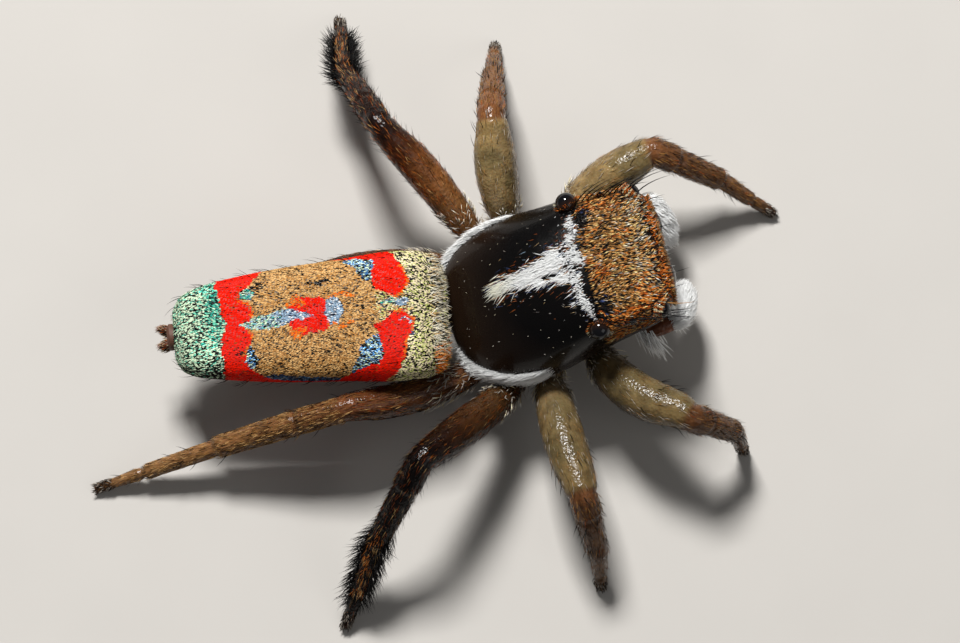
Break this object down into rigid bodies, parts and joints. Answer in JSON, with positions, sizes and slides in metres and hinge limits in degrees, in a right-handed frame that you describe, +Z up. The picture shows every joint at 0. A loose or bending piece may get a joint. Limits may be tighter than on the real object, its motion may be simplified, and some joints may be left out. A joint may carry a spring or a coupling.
{
  "type": "peacock spider",
  "caption": "Life-size still model of a small male jumping spider standing with its bright scaled abdomen folded, large front eyes and a glossy black back.",
  "frame": {"origin": "middle of the animal's box in plan, on the floor under it, at the level of the soles of the feet", "axes": "+X forward along the body towards the face, +Y to the spider's left, +Z up"},
  "size_m": [0.0072, 0.0064, 0.0018],
  "materials": {
    "carapace_shell": "glossy black shell",
    "abdomen_scales": "small flat scales, tan with red and blue-green",
    "eye_glass": "polished black lens",
    "olive_leg": "satin olive brown skin",
    "dark_leg": "satin red-brown to black skin",
    "mouthparts": "satin brown skin",
    "white_hair": "soft white hair",
    "underside": "dull brown skin"
  },
  "bodies": {
    "root": {"abdomen": "abdomen_scales", "carapace": "carapace_shell", "chelicera_left": "mouthparts", "chelicera_right": "mouthparts", "eye_front_middle_left": "eye_glass", "eye_front_middle_right": "eye_glass", "eye_front_side_left": "eye_glass", "eye_front_side_right": "eye_glass", "eye_rear_left": "eye_glass", "eye_rear_right": "eye_glass", "eye_small_left": "eye_glass", "eye_small_right": "eye_glass", "leg1_left_femur": "olive_leg", "leg1_left_foot": "olive_leg", "leg1_left_shin": "olive_leg", "leg1_right_femur": "olive_leg", "leg1_right_foot": "olive_leg", "leg1_right_shin": "olive_leg", "leg2_left_femur": "olive_leg", "leg2_left_foot": "olive_leg", "leg2_left_shin": "olive_leg", "leg2_right_femur": "olive_leg", "leg2_right_foot": "olive_leg", "leg2_right_shin": "olive_leg", "leg3_left_femur": "dark_leg", "leg3_left_foot": "dark_leg", "leg3_left_shin": "dark_leg", "leg3_right_femur": "dark_leg", "leg3_right_foot": "dark_leg", "leg3_right_shin": "dark_leg", "leg4_left_femur": "olive_leg", "leg4_left_foot": "olive_leg", "leg4_left_shin": "olive_leg", "leg4_right_femur": "olive_leg", "leg4_right_foot": "olive_leg", "leg4_right_shin": "olive_leg", "palp_left_tip": "white_hair", "palp_left_upper": "mouthparts", "palp_right_tip": "white_hair", "palp_right_upper": "mouthparts", "pedicel": "underside", "spinnerets": "underside", "sternum": "underside"}
  },
  "joints": []
}
